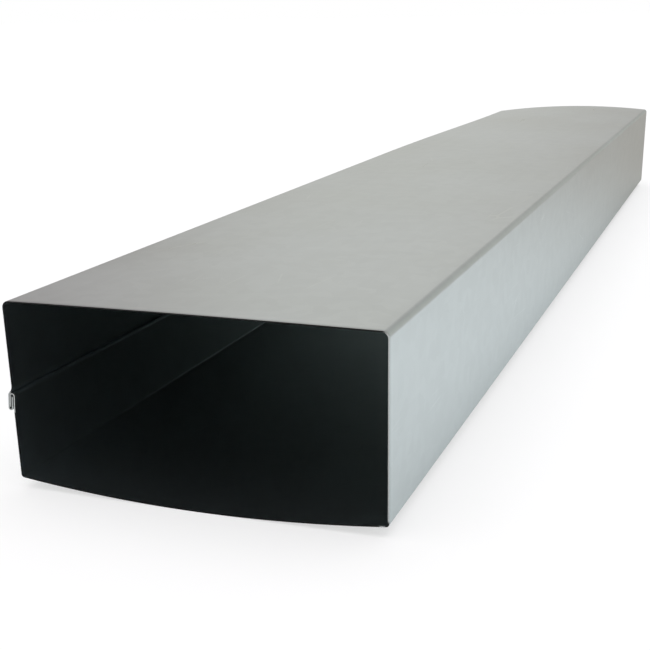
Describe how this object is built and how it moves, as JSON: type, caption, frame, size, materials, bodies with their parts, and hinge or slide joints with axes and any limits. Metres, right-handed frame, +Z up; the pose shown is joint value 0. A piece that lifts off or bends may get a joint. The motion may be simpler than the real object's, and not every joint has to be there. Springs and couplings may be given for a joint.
{
  "type": "rectangular sheet-steel air duct",
  "caption": "Straight length of flat rectangular galvanised sheet-steel air duct, open at its ends, folded from sheet and closed by a lock seam along a narrow side.",
  "frame": {"origin": "under the middle of the duct, on the surface that it lies on: midway between the open ends and between the outer faces of the narrow walls, without the seam", "axes": "+Y along the duct from the front end to the back end, +Z up through the wide walls, +X from the narrow wall with the lock seam to the plain narrow wall"},
  "size_m": [0.1727, 1, 0.0882],
  "materials": {
    "galvanised_steel": "smooth satin zinc coat"
  },
  "bodies": {
    "root": {"duct": "galvanised_steel"}
  },
  "joints": []
}
